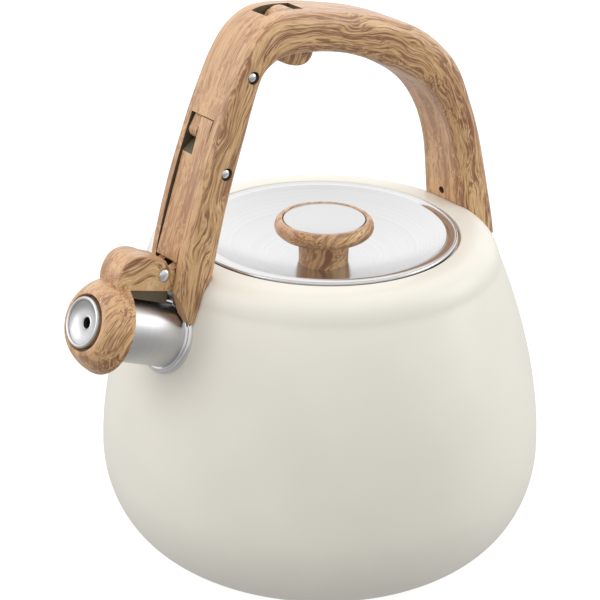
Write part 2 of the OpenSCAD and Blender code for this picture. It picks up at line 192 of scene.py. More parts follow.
def turned(v, angle):
    """A flat vector turned anticlockwise."""
    return Vector((v[0] * math.cos(angle) - v[1] * math.sin(angle),
                   v[0] * math.sin(angle) + v[1] * math.cos(angle)))


def leg_point(x, z):
    """A point of the front leg's frame, in millimetres, as (X, Z) in metres."""
    p = LEG @ Vector((x * MM, 0, z * MM))
    return Vector((p.x, p.z))


# ---- meshes ----
def piece_from(name, bm, sharp=SHARP):
    """An object at the origin that holds the bmesh, smooth but for its sharp edges."""
    bmesh.ops.remove_doubles(bm, verts=bm.verts, dist=1e-7)
    bmesh.ops.recalc_face_normals(bm, faces=bm.faces)
    mesh = bpy.data.meshes.new(name)
    bm.to_mesh(mesh)
    bm.free()
    piece = bpy.data.objects.new(name, mesh)
    bpy.context.scene.collection.objects.link(piece)
    smooth(piece, sharp)
    return piece


def smooth(piece, sharp=SHARP):
    """Shades a piece smooth, and keeps the edges above an angle sharp."""
    piece.data.polygons.foreach_set("use_smooth", [True] * len(piece.data.polygons))
    piece.data.set_sharp_from_angle(angle=sharp)
    piece.data.update()


def lathe(name, profile, place=Matrix(), segments=144, sharp=SHARP, inner=None):
    """A turned piece: profile is a closed loop of (radius, height). Points in the index
    range inner get the second material."""
    profile = [Vector(p) for p in profile]
    bm = bmesh.new()
    rings = []
    for i in range(segments):
        a = FULL_TURN * i / segments
        rings.append([bm.verts.new(place @ Vector((p[0] * math.cos(a), p[0] * math.sin(a), p[1])))
                      for p in profile])
    count = len(profile)
    for i, ring in enumerate(rings):
        after = rings[(i + 1) % segments]
        for j in range(count):
            k = (j + 1) % count
            if profile[j][0] < 1e-7 and profile[k][0] < 1e-7:
                continue
            face = bm.faces.new((ring[j], ring[k], after[k], after[j]))
            if inner and inner[0] <= j < inner[1]:
                face.material_index = 1
    return piece_from(name, bm, sharp)


def slab(name, outline, y0, y1, place=Matrix()):
    """A flat outline in the X-Z plane, made solid from y0 to y1."""
    bm = bmesh.new()
    near = [bm.verts.new(place @ Vector((p[0], y0, p[1]))) for p in outline]
    far = [bm.verts.new(place @ Vector((p[0], y1, p[1]))) for p in outline]
    bm.faces.new(near)
    bm.faces.new(far[::-1])
    for i in range(len(outline)):
        k = (i + 1) % len(outline)
        bm.faces.new((near[i], near[k], far[k], far[i]))
    return piece_from(name, bm)


def block(low_corner, high_corner, place=Matrix(), name="box"):
    """A box between two corners in millimetres, turned by place."""
    (x0, y0, z0), (x1, y1, z1) = mm(*low_corner), mm(*high_corner)
    return slab(name, [(x0, z0), (x1, z0), (x1, z1), (x0, z1)], y0, y1, place)


def rod(r, length, place=Matrix(), segments=48):
    """A plain cylinder along place's Z axis, from z = 0."""
    return lathe("rod", [(0, 0), (r, 0), (r, length), (0, length)], place, segments)


def across(at, r, half):
    """A plain cylinder along Y through the point at."""
    turn = Matrix.Rotation(-math.pi / 2, 4, "X")
    return rod(r, 2 * half, Matrix.Translation((at.x, -half, at.z)) @ turn)


def bake(piece, sharp=SHARP):
    """Applies a piece's modifiers to its mesh."""
    evaluated = piece.evaluated_get(bpy.context.evaluated_depsgraph_get())
    mesh = bpy.data.meshes.new_from_object(evaluated)
    piece.modifiers.clear()
    piece.data = mesh
    smooth(piece, sharp)
    return piece


def rounded(piece, width, segments=4, angle=30):
    """Rounds the piece's edges that are sharper than an angle in degrees."""
    bevel = piece.modifiers.new("rounding", "BEVEL")
    bevel.width = width
    bevel.segments = segments
    bevel.limit_method = "ANGLE"
    bevel.angle_limit = math.radians(angle)
    bevel.harden_normals = False
    return bake(piece)


def combined(piece, tools, operation="DIFFERENCE"):
    """Cuts the tools out of a piece, or joins them to it, and removes the tools."""
    kit = bpy.data.collections.new("tools")
    for tool in tools:
        kit.objects.link(tool)
    modifier = piece.modifiers.new("cut", "BOOLEAN")
    modifier.operation = operation
    modifier.solver = "EXACT"
    modifier.operand_type = "COLLECTION"
    modifier.collection = kit
    modifier.material_mode = "INDEX"
    bpy.context.view_layer.update()
    bake(piece)
    for tool in tools:
        bpy.data.objects.remove(tool)
    bpy.data.collections.remove(kit)
    return piece


def inner(tools):
    """Marks what these tools cut or add as bare inside faces, which take the second material: the near-black
    moulding that is also painted shade.
    """
    for tool in tools:
        tool.data.polygons.foreach_set("material_index", [1] * len(tool.data.polygons))
    return tools


def printed(piece):
    """Gives a wood-look piece its two finishes before its cuts are made."""
    piece.data.materials.append(finish("wood_look"))
    piece.data.materials.append(finish("bare_plastic_and_shade"))
    return piece


WOOD = ("wood_look", "bare_plastic_and_shade")


def fit(piece, body, slot_name, finishes, *nodes):
    """Gives a piece its finishes, its body and the nodes that it stands for; its slot_name argument is not
    used.
    """
    parts = [face.material_index for face in piece.data.polygons]
    piece.data.materials.clear()
    for name in finishes:
        piece.data.materials.append(finish(name))
    if len(finishes) > 1:
        piece.data.polygons.foreach_set("material_index", parts)
    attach(piece, body)
    if nodes:
        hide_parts(*nodes)
    return piece


# ---- grain: each wood-look piece stores (along, across, sideways) in millimetres ----
def store_grain(piece, place_grain):
    """Writes the grain place of every face corner, and how far each face looks sideways, which the wood look
    uses to paint a sheen on the faces that look up or out.
    """
    mesh = piece.data
    mesh.attributes.new("grain", "FLOAT_VECTOR", "CORNER")
    mesh.attributes.new("side", "FLOAT", "CORNER")
    places = []
    sides = []
    for face in mesh.polygons:
        for index in face.loop_indices:
            p = mesh.vertices[mesh.loops[index].vertex_index].co
            places.extend(place_grain(p, face))
            sides.append(abs(mesh.corner_normals[index].vector.y))
    mesh.attributes["grain"].data.foreach_set("vector", places)
    mesh.attributes["side"].data.foreach_set("value", sides)


def straight_grain(centre, along, up=Vector((0, 1, 0))):
    """Grain that runs one way through a piece, as through a sawn block."""
    along = along.normalized()
    third = along.cross(up).normalized()
    second = third.cross(along)

    def place(p, face):
        q = (p - centre) / MM
        return q.dot(along), q.dot(third), q.dot(second)
    return place


# ---- shader building ----
class Value:
    """A number socket that Python arithmetic turns into Math nodes."""

    def __init__(self, nodes, socket):
        self.nodes = nodes
        self.socket = socket

    def __add__(self, other):
        return self.nodes.maths("ADD", self, other)

    def __sub__(self, other):
        return self.nodes.maths("SUBTRACT", self, other)

    def __rsub__(self, other):
        return self.nodes.maths("SUBTRACT", other, self)

    def __mul__(self, other):
        return self.nodes.maths("MULTIPLY", self, other)

    def __pow__(self, other):
        return self.nodes.maths("POWER", self, other)

    __radd__ = __add__
    __rmul__ = __mul__

    def clamped(self, a, b):
        """0 below a, 1 above b, and smooth between them."""
        return self.nodes.node("ShaderNodeMapRange", {"interpolation_type": "SMOOTHSTEP"}, {
            "Value": self, "From Min": a, "From Max": b})["Result"]


class Nodes:
    """A node tree under construction."""

    def __init__(self, tree):
        self.tree = tree

    def node(self, kind, settings=None, sockets=None):
        """Adds a node and returns its outputs by name, each wrapped as a Value."""
        added = self.tree.nodes.new(kind)
        for key, setting in (settings or {}).items():
            if key == "stops":
                ramp = added.color_ramp.elements
                ramp[0].color, ramp[-1].color = setting[0][1], setting[-1][1]
                for position, colour in setting[1:-1]:
                    ramp.new(position).color = colour
            else:
                setattr(added, key, setting)
        for key, value in (sockets or {}).items():
            self.feed(added.inputs[key], value)
        return {out.name: Value(self, out) for out in reversed(added.outputs) if out.enabled}

    def maths(self, operation, *values, **settings):
        """Adds a Math node on numbers and Values."""
        settings["operation"] = operation
        return self.node("ShaderNodeMath", settings, dict(enumerate(values)))["Value"]

    def feed(self, socket, value):
        """Links a Value to a socket, or sets the socket to a plain one."""
        if isinstance(value, Value):
            self.tree.links.new(value.socket, socket)
        else:
            socket.default_value = value


class Paint(Nodes):
    """The shader of one material, or of the world."""

    def __init__(self, owner):
        owner.use_nodes = True
        super().__init__(owner.node_tree)
        self.owner = owner
        self.tree.nodes.clear()

    def vector(self, x, y, z):
        return self.node("ShaderNodeCombineXYZ", {}, {"X": x, "Y": y, "Z": z})["Vector"]

    def split(self, vector):
        parts = self.node("ShaderNodeSeparateXYZ", {}, {"Vector": vector})
        return parts["X"], parts["Y"], parts["Z"]

    def noise(self, vector, scale=1.0, detail=2.0, roughness=0.5):
        return self.node("ShaderNodeTexNoise", {}, {
            "Vector": vector, "Scale": scale, "Detail": detail, "Roughness": roughness})["Fac"]

    def place(self):
        """The point on the piece, in metres."""
        return self.node("ShaderNodeTexCoord")["Object"]

    def attribute(self, name, output):
        return self.node("ShaderNodeAttribute", {"attribute_name": name})[output]

    def blend(self, factor, a, b):
        """Mixes two colours."""
        mix = self.tree.nodes.new("ShaderNodeMix")
        mix.data_type = "RGBA"
        self.feed(mix.inputs[0], factor)
        for key, colour in ((6, a), (7, b)):
            self.feed(mix.inputs[key], colour if isinstance(colour, Value) else (*colour, 1))
        return Value(self, mix.outputs[2])

    def bump(self, height, strength, distance):
        return self.node("ShaderNodeBump", {}, {
            "Height": height, "Strength": strength, "Distance": distance})["Normal"]

    def surface(self, **sockets):
        """Ends the material in a Principled shader; an underscore stands for a space."""
        named = {key.replace("_", " "): value for key, value in sockets.items()}
        shader = self.node("ShaderNodeBsdfPrincipled", {}, named)["BSDF"]
        self.node("ShaderNodeOutputMaterial", {}, {"Surface": shader})
        return self.owner


_finishes = {}


def finish(name):
    """The named material, made the first time that it is asked for."""
    if name not in _finishes:
        paint = Paint(bpy.data.materials.new(name))
        _finishes[name] = MAKERS[name](paint, bpy.context.scene.kettle_colours)
    return _finishes[name]


def scaled(colour, share):
    """A colour made paler or darker, and never brighter than white."""
    return tuple(min(1.0, c * share) for c in colour)


def cream_coat(paint, colours):
    """Satin baked coating with a faint orange-peel surface."""
    place = paint.place()
    peel = paint.noise(place, 900.0, 2.0)
    cloud = paint.noise(place, 14.0, 3.0)
    pale, warm = scaled(colours.cream, 1.03), scaled(colours.cream, 0.965)
    return paint.surface(
        Base_Color=paint.blend(cloud.clamped(0.3, 0.7), warm, pale),
        Roughness=cloud * 0.08 + 0.33,
        Normal=paint.bump(peel, 0.06, 0.00012),
        Specular_IOR_Level=0.45,
        Coat_Weight=0.15, Coat_Roughness=0.22)


def wood_look(paint, colours):
    """Printed wood grain under a satin lacquer, laid along each piece's stored grain. Faces that look up or
    out get a painted pinkish sheen, and their grain streaks are drawn fainter.
    """
    along, over, beside = paint.split(paint.attribute("grain", "Vector"))
    side = paint.attribute("side", "Fac")
    drift = paint.noise(paint.vector(along * 0.020, over * 0.05, beside * 0.05), 1.0, 2.0)
    weave = paint.noise(paint.vector(along * 0.09, over * 0.3, beside * 0.3), 1.0, 1.0)
    f = over + drift * 30.0 + weave * 1.6
    g = beside + drift * 12.0
    streak = paint.noise(paint.vector(along * 0.030, f * 0.75, g * 0.75), 1.0, 2.0, 0.6)
    hair = paint.noise(paint.vector(along * 0.085, f * 1.9, g * 1.9), 1.0, 2.0, 0.6)
    fleck = paint.noise(paint.vector(along * 0.40, f * 2.6, g * 2.6), 1.0, 2.0, 0.6)
    band = paint.noise(paint.vector(along * 0.014, f * 0.22, g * 0.22), 1.0, 2.0)
    stripe = paint.noise(paint.vector(along * 0.010, over * 0.12, beside * 0.42), 1.0, 2.0, 0.6)
    mixed = streak * (side * 0.30 + 0.15) + stripe * (1 - side) * 0.30
    line = mixed + hair * 0.55 + (band - 0.5) * 0.24
    thin = line.clamped(0.470, 0.570)
    tone = (band * 0.7 + streak * 0.45).clamped(0.46, 0.70)
    ground = paint.blend(tone, colours.wood_light, colours.wood_mid)
    pale = (1 - hair).clamped(0.50, 0.66) * (0.25 + side * 0.3)
    lit = paint.blend(pale, ground, (0.84, 0.64, 0.37))
    # painted sheen: faces that don't look sideways are tinted pinkish, as the lacquer's reflection of the
    # white room
    painted_sheen = paint.blend((1 - side) * 0.50, lit, (0.68, 0.405, 0.24))
    # the dark grain lines are drawn fainter on those faces, under the painted sheen
    dark = thin * (side * 0.36 + 0.44) + (fleck.clamped(0.54, 0.66) * 0.24 * side)
    return paint.surface(
        Base_Color=paint.blend(dark, painted_sheen, colours.wood_dark),
        Roughness=thin * 0.10 + 0.38,
        Normal=paint.bump(hair - thin, 0.18, 0.00010),
        Specular_IOR_Level=0.5,
        Coat_Weight=0.35, Coat_Roughness=0.32)


def grained(scale, detail, tones, rough, spread, relief, metallic=1.0):
    """A finish whose tone, gloss and relief follow one fine noise."""
    def make(paint, colours):
        grain = paint.noise(paint.place(), scale, detail)
        return paint.surface(
            Base_Color=paint.blend(grain, *tones(colours)),
            Metallic=metallic,
            Roughness=grain * spread + rough,
            Normal=paint.bump(grain, relief, 0.00005))
    return make


def brushed(tone, rough, ring_scale, lines, centre=(0, 0, 0), turn=(0, 0, 0)):
    """Brushed steel with lines that run round the Z axis of a place."""
    def make(paint, colours):
        x, y, z = paint.split(paint.node("ShaderNodeMapping", {"vector_type": "TEXTURE"}, {
            "Vector": paint.place(), "Location": centre, "Rotation": turn})["Vector"])
        radius = (x * x + y * y) ** 0.5
        ring_lines = paint.noise(
            paint.vector(radius * ring_scale, z * ring_scale, 0.0), 1.0, 3.0, 0.7)
        soft = paint.noise(paint.place(), 30.0, 2.0)
        steel = tuple(c * tone for c in colours.steel)
        dim = tuple(c * 0.93 for c in steel)
        return paint.surface(
            Base_Color=paint.blend(ring_lines.clamped(0.3, 0.7), dim, steel),
            Metallic=1.0,
            Roughness=ring_lines * 0.12 + soft * 0.06 + rough,
            Normal=paint.bump(ring_lines, lines, 0.00004))
    return make


def bright_tones(colours):
    """The two tones of bright steel."""
    tint = scaled(colours.steel, 1.15)
    return tint, scaled(tint, 0.95)


MAKERS = {
    "cream_coat": cream_coat,
    "wood_look": wood_look,
    # bright steel with the faintest waviness
    "polished_steel": grained(160.0, 2.0, bright_tones, 0.10, 0.06, 0.05),
    # stamped steel out of the press, for hidden brackets and the like
    "dull_steel": grained(
        700.0, 3.0, lambda colours: (scaled(colours.steel, 0.75), colours.steel), 0.3, 0.2, 0.1),
    # the dark moulding in the handle's channel and slots, where the print doesn't reach; its near-black tone
    # is also painted shade for those recesses and under the cap arm
    "bare_plastic_and_shade": grained(
        900.0, 2.0, lambda colours: ((0.085, 0.064, 0.036), (0.125, 0.098, 0.058)),
        0.5, 0.1, 0.1, 0.0),
    "lid_steel": brushed(1.04, 0.15, 1500.0, 0.03),
    "knob_steel": brushed(0.98, 0.26, 3200.0, 0.08),
    "base_steel": brushed(0.9, 0.28, 1500.0, 0.3),
    "inner_steel": brushed(0.9, 0.30, 900.0, 0.2),
    "tube_steel": brushed(0.96, 0.24, 2600.0, 0.16, SPOUT_AT.to_tuple(), SPOUT.to_3x3().to_euler()),
}


# ---- outlines ----
def body_outline():
    """The body from its foot up over the shoulder to the edge of the mouth."""
    belly = (BELLY_R, 45 * MM)
    bend = mm(74.7, 131)
    lower = [(61 * MM, FOOT_Z), (86 * MM, FOOT_Z + 2.8 * MM), (BELLY_R, 28 * MM), belly]
    flank = [belly, (BELLY_R, 78 * MM), mm(83, 112), bend]
    shoulder = [bend, mm(73.4, 136.5), (71.3 * MM, TOP_Z), (62 * MM, TOP_Z)]
    lip = arc((RIM_R + 0.9 * MM, TOP_Z - 0.9 * MM), 0.9 * MM, 90, 180, 5)
    foot = arc((60.2 * MM, FOOT_Z + 0.9 * MM), 0.9 * MM, -90, -50, 4)
    return foot + curve(lower, 26)[1:] + curve(flank, 30) + curve(shoulder, 22) + lip


def shell_loop(wall):
    """The closed loop of the body's wall, and where its inside starts and ends."""
    outer = body_outline()
    inside = []
    for i in range(len(outer) - 2, 4, -1):
        tangent = (outer[min(i + 1, len(outer) - 1)] - outer[i - 1]).normalized()
        p = outer[i] + Vector((-tangent.y, tangent.x)) * wall
        if p.y < SEAT_Z - 2.2 * MM and p.x > RIM_R - 2 * MM or p.y > SEAT_Z - 4 * MM and p.x > RIM_R:
            inside.append(p)
    inside = [p for p in inside if p.y < TOP_Z - wall + 1e-6]
    edge = [(RIM_R, SEAT_Z - 1.1 * MM - wall)]
    core_r, core_top = high("base_core", 0), high("base_core", 2)
    floor = [(core_r + wall, FOOT_Z + wall), (core_r + wall, core_top + wall),
             (0, core_top + wall), (0, core_top), (core_r, core_top), (core_r, FOOT_Z)]
    loop = outer + edge + inside + floor
    return loop, len(outer), len(loop) - 4


# Outer and inner edge of the handle in the X-Z plane, in millimetres, front foot to rear foot
HANDLE_EDGES = [
    ((-88, 121), (-70, 117)), ((-82.2, 137.5), (-66.5, 133)), ((-78.6, 154), (-63, 149.5)),
    ((-72.4, 176), (-57.4, 171.5)), ((-64, 199), (-49.8, 195)), ((-57.6, 214), (-45, 209.5)),
    ((-50, 228.5), (-41.5, 218.5)), ((-42, 237.5), (-37, 222.8)), ((-31, 242.2), (-30, 225.2)),
    ((-14, 241), (-16, 224.6)), ((2, 237.9), (-2, 222)), ((18, 233.9), (11, 217.5)),
    ((36, 227), (27.5, 209.5)), ((50, 217.8), (41, 201.5)), ((61.5, 205.5), (50.5, 192.5)),
    ((69.5, 189), (57.5, 181.5)), ((75.3, 174), (62, 169.5)), ((79.6, 159), (64.2, 157.5)),
    ((83.3, 144.5), (65.5, 145)), ((86.4, 132), (67, 133)), ((89, 119), (68, 119))]


def handle_stations(steps):
    """(outer, inner) points along the handle, smoothed between the listed ones."""
    last = len(HANDLE_EDGES) - 1

    def edge(i, k):
        return Vector(HANDLE_EDGES[max(0, min(last, i))][k]) * MM
    stations = []
    for i in range(last):
        for s in range(steps):
            t = s / steps
            stations.append([hermite(edge(i - 1, k), edge(i, k), edge(i + 1, k), edge(i + 2, k), t)
                             for k in (0, 1)])
    stations.append([edge(last, 0), edge(last, 1)])
    return stations


def handle_bar(edge_r, steps=7, corner=7):
    """The bent bar of the handle: a rounded section carried along its stations."""
    bm = bmesh.new()
    rings = []
    for outer, inner in handle_stations(steps):
        thick = (outer - inner).length
        u = (outer - inner) / thick
        middle = (outer + inner) / 2
        r = min(edge_r, thick / 2 - 1 * MM)
        ring = []
        for q in range(4):
            for s in range(corner + 1):
                a = math.radians(q * 90 + s * 90 / corner)
                cx = (1 if q in (0, 3) else -1) * (thick / 2 - r) + r * math.cos(a)
                cy = (1 if q < 2 else -1) * (HANDLE_HALF - r) + r * math.sin(a)
                ring.append(bm.verts.new((middle.x + cx * u.x, cy, middle.y + cx * u.y)))
        rings.append(ring)
    count = len(rings[0])
    for a, b in zip(rings, rings[1:]):
        for j in range(count):
            k = (j + 1) % count
            bm.faces.new((a[j], a[k], b[k], b[j]))
    bm.faces.new(rings[0])
    bm.faces.new(rings[-1][::-1])
    return piece_from("handle_wood", bm)


def bent_grain():
    """Grain that follows the handle's bend from foot to foot."""
    stations = handle_stations(3)
    middles = [(outer + inner) / 2 for outer, inner in stations]
    lengths = [0.0]
    for a, b in zip(middles, middles[1:]):
        lengths.append(lengths[-1] + (b - a).length)

    def place(p, face):
        flat = Vector((p.x, p.z))
        best = None
        for i in range(len(middles) - 1):
            a, b = middles[i], middles[i + 1]
            d = b - a
            t = max(0.0, min(1.0, (flat - a).dot(d) / d.length_squared))
            gap = (flat - a - d * t)
            if best is None or gap.length_squared < best[0]:
                sign = d.x * gap.y - d.y * gap.x
                best = (gap.length_squared, lengths[i] + t * d.length, math.copysign(gap.length, sign))
        return best[1] / MM, best[2] / MM, p.y / MM
    return place


def bar_outline(p, q, width):
    """The four corners of a straight bar between two points of the X-Z plane."""
    d = (q - p).normalized() * (width / 2)
    n = Vector((-d.y, d.x))
    return [p + n, p - n, q - n, q + n]


def flat(p):
    """(X, Z) of a point in space."""
    return Vector((p.x, p.z))


NOSE_AT = Vector((-61.3, 197.5)) * MM
NOSE_R = 3 * MM
TRIGGER_REST = in_mm([(-29, 231)])[0]


def trigger_block():
    """The finger pad below the arch and the back that shows in the slot on top."""
    pad = curve(in_mm([(-28.5, 222.2), (-23, 218.2), (-12.4, 214.6), (-10.8, 223)]), 14)
    back = curve(in_mm([(-18.6, 239.5), (-20.5, 243.5), (-30, 243.5), (-32, 234)]), 14)
    return in_mm([(-32, 226.5)]) + pad + in_mm([(-10.8, 223), (-11.6, 228), (-18.6, 236)]) + back


def swept(outline):
    """The room that a flat outline needs as the trigger turns about its pin."""
    pivot = flat(TRIGGER_PIVOT)
    points = [pivot + turned(p - pivot, TRIGGER_TURN * share) for share in (0, 0.5, 1) for p in outline]
    return [points[i] for i in convex_hull_2d(points)]


# The rod's channel in the front leg's frame, in millimetres
ROD_FACE = 3.9
ROD_BACK = ROD_FACE + 7.0
ROD_TOP = 63.6
CHANNEL_HALF = 7.5
TAIL_R = 2.4
GUIDE = (11.95, 44.8)
SPRING_AT = (13.6, 22.3)
_guide = leg_point(*GUIDE)
GUIDE_AT = Vector((_guide.x, 0, _guide.y))


def tail_place():
    """The centre of the arm's tail in the front leg's frame, in millimetres."""
    reach = ROD_TRAVEL / (2 * math.sin(CAP_TURN / 2)) / MM
    return turned((reach, 0), CAP_TURN / 2)


# ---- Geometry Nodes ----
class Geometry(Nodes):
    """A Geometry Nodes tree with named sizes and a material as inputs."""

    def __init__(self, name, *labels):
        super().__init__(bpy.data.node_groups.new(name, "GeometryNodeTree"))
        self.tree.is_modifier = True
        self.names = {}
        for label in labels + ("Material",):
            kind = "NodeSocketMaterial" if label == "Material" else "NodeSocketFloat"
            socket = self.tree.interface.new_socket(label, in_out="INPUT", socket_type=kind)
            self.names[label] = socket.identifier
        self.tree.interface.new_socket(
            "Geometry", in_out="OUTPUT", socket_type="NodeSocketGeometry")
        self.given = self.node("NodeGroupInput")

    def tube(self, path, resolution, radius, **scale):
        """Ends the tree in a round tube along a path."""
        ring = self.node("GeometryNodeCurvePrimitiveCircle", {}, {
            "Resolution": resolution, "Radius": radius})["Curve"]
        mesh = self.node("GeometryNodeCurveToMesh", {}, {
            "Curve": path, "Profile Curve": ring, "Fill Caps": True, **scale})["Mesh"]
        real = self.node("GeometryNodeRealizeInstances", {}, {"Geometry": mesh})["Geometry"]
        painted = self.node("GeometryNodeSetMaterial", {}, {
            "Geometry": real, "Material": self.given["Material"]})["Geometry"]
        self.node("NodeGroupOutput", {}, {"Geometry": painted})
        return self

    def build(self, name, values, place):
        """Runs the tree with these inputs and returns the baked piece."""
        piece = bpy.data.objects.new(name, bpy.data.meshes.new(name))
        bpy.context.scene.collection.objects.link(piece)
        modifier = piece.modifiers.new("shape", "NODES")
        modifier.node_group = self.tree
        for label, value in values.items():
            modifier[self.names[label]] = value
        piece.update_tag()
        bpy.context.view_layer.update()
        bake(piece)
        piece.data.transform(place)
        return piece


def spring_tree():
    """A wire wound round Z."""
    tree = Geometry("Coil spring", "Turns", "Coil radius", "Wire radius", "Height")
    given = tree.given
    spiral = tree.node("GeometryNodeCurveSpiral", {}, {
        "Resolution": 24, "Rotations": given["Turns"], "Start Radius": given["Coil radius"],
        "End Radius": given["Coil radius"], "Height": given["Height"]})["Curve"]
    return tree.tube(spiral, 10, given["Wire radius"])


def pin_tree():
    """A round pin along Z with domed ends, centred on the origin."""
    tree = Geometry("Domed pin", "Radius", "Length", "Dome")
    length = tree.given["Length"]
    half = length * 0.5
    start = tree.node("ShaderNodeCombineXYZ", {}, {"Z": half * -1.0})["Vector"]
    end = tree.node("ShaderNodeCombineXYZ", {}, {"Z": half})["Vector"]
    line = tree.node("GeometryNodeCurvePrimitiveLine", {}, {"Start": start, "End": end})["Curve"]
    path = tree.node("GeometryNodeResampleCurve", {}, {"Curve": line, "Count": 121})["Curve"]
    along = tree.node("GeometryNodeSplineParameter")["Length"]
    near = tree.maths("MINIMUM", along, length - along)
    share = tree.maths("DIVIDE", near, tree.given["Dome"], use_clamp=True)
    size = tree.maths("SQRT", 1.0 - (1.0 - share) ** 2.0)
    return tree.tube(path, 40, tree.given["Radius"], Scale=size)


# ---- operators: one for each group of pieces ----
class KettleOperator:
    """What every building step shares."""
    bl_options = {"REGISTER", "UNDO"}

    @property
    def sizes(self):
        return bpy.context.scene.kettle_sizes


class KETTLE_OT_body(KettleOperator, bpy.types.Operator):
    """Build the coated body, the mouth's steel seat and the base."""
    bl_idname = "kettle.body"
    bl_label = "Body and base"

    def execute(self, context):
        loop, first, last = shell_loop(self.sizes.wall)
        shell = lathe("body_coat", loop, segments=192, inner=(first, last))
        passage = rod(SPOUT_R - 1.1 * MM, 30 * MM, shifted(SPOUT, 0, 0, -12), 64)
        combined(shell, [passage])
        fit(shell, "kettle", "enamel", ["cream_coat", "inner_steel"], "body_shell", "body_floor")

        mouth = low("mouth_ring", 2)
        bore = 50 * MM
        seat = [(bore, mouth), (bore + 1 * MM, mouth), (bore + 1 * MM, SEAT_Z - 3 * MM),
                (bore + 2.9 * MM, SEAT_Z - 1.1 * MM), (RIM_R, SEAT_Z - 1.1 * MM),
                (RIM_R, SEAT_Z), (bore + 2.4 * MM, SEAT_Z), (bore, SEAT_Z - 2.4 * MM)]
        ring = lathe("mouth_seat", seat)
        fit(ring, "kettle", "polished_steel", ["polished_steel"], "mouth_ring")

        r = BASE_CAP_R
        core_r = high("base_core", 0)
        cap = [(0, 0.25 * MM), (14 * MM, 0.25 * MM), (15 * MM, 0), (r - 7 * MM, 0),
               (r - 6.6 * MM, 0.3 * MM), (r - 6 * MM, 0.3 * MM), (r - 5.6 * MM, 0),
               *arc((r - 0.8 * MM, 0.8 * MM), 0.8 * MM, -90, 0, 5),
               (r, high("base_cap", 2)), (core_r, high("base_cap", 2)), (core_r, 0.6 * MM),
               (0, 0.6 * MM)]
        base = lathe("base_plate", cap, segments=160)
        fit(base, "kettle", "brushed_steel", ["base_steel"], "base_cap")
        return {"FINISHED"}


class KETTLE_OT_lid(KettleOperator, bpy.types.Operator):
    """Build the dished lid and its knob."""
    bl_idname = "kettle.lid"
    bl_label = "Lid and knob"

    def execute(self, context):
        s = self.sizes
        thick = 0.8 * MM
        flange = LID_Z - 0.15 * MM

        def dish(r):
            return flange - s.dish_depth * (1 - (r / s.dish_r) ** 2)
        count = 40
        upper = [Vector((s.dish_r * i / count, dish(s.dish_r * i / count))) for i in range(count)]
        lip = arc((s.dish_r - 0.1 * MM, flange - 0.5 * MM), 0.65 * MM, 118, 60, 4)
        bead = arc((LID_R - 0.62 * MM, flange - 0.28 * MM), 0.62 * MM, 125, -90, 12)
        groove = [(LID_R - 1.7 * MM, flange - 0.12 * MM)]
        under = [(p.x, p.y - thick) for p in reversed(upper)]
        plate = lathe("lid_plate", upper + lip + groove + bead + under, segments=192)
        fit(plate, "lid", "brushed_steel", ["lid_steel"], "lid_dish")

        neck_r = high("knob_neck", 1)
        base_r = neck_r - 0.8 * MM
        foot = dish(base_r)
        top = KNOB_LOW + 0.1 * MM
        stem = curve([(base_r, foot), (base_r, foot + 5 * MM),
                      (base_r + 0.2 * MM, KNOB_LOW - 4 * MM), (neck_r, top)], 12)
        neck = lathe("knob_stem", [
            (0, foot + 0.05 * MM), (base_r, foot), *stem[1:], (neck_r, top), (0, KNOB_LOW)])
        store_grain(neck, straight_grain(mm(3, 14, 0), Vector((0.45, -0.35, 0.8))))
        fit(neck, "lid", "wood_look", WOOD, "knob_neck")

        middle = KNOB_LOW + (KNOB_TOP - KNOB_LOW) * 0.52
        low_side = curve([
            (neck_r, KNOB_LOW), (KNOB_R - 6 * MM, KNOB_LOW),
            (KNOB_R - 0.6 * MM, KNOB_LOW + 0.4 * MM), (KNOB_R, middle)], 12)
        top_side = curve([
            (KNOB_R, middle), (KNOB_R, KNOB_TOP - 1.2 * MM), (KNOB_R - 1.6 * MM, KNOB_TOP),
            (DISC_R + 0.9 * MM, KNOB_TOP - 0.15 * MM)], 10)
        under_disc = KNOB_TOP - 2 * MM
        ring = lathe("knob_ring", [
            (0, KNOB_LOW), (neck_r, KNOB_LOW), *low_side[1:], *top_side,
            (DISC_R + 0.45 * MM, KNOB_TOP - 0.4 * MM), (DISC_R + 0.35 * MM, under_disc),
            (0, under_disc)])
        store_grain(ring, straight_grain(
            Vector((9 * MM, -7 * MM, KNOB_TOP)), Vector((0.93, 0.35, 0.25)), Vector((0, 0, 1))))
        fit(ring, "lid", "wood_look", WOOD, "knob_rim")

        plate_top = KNOB_TOP - 0.55 * MM
        disc = lathe("knob_inlay", [
            (0, under_disc), (DISC_R, under_disc), (DISC_R, plate_top - 0.2 * MM),
            *arc((DISC_R - 0.35 * MM, plate_top - 0.1 * MM), 0.35 * MM, 0, 150, 6),
            (DISC_R - 0.95 * MM, plate_top), (0, plate_top)])
        fit(disc, "lid", "brushed_steel", ["knob_steel"], "knob_disc")
        return {"FINISHED"}


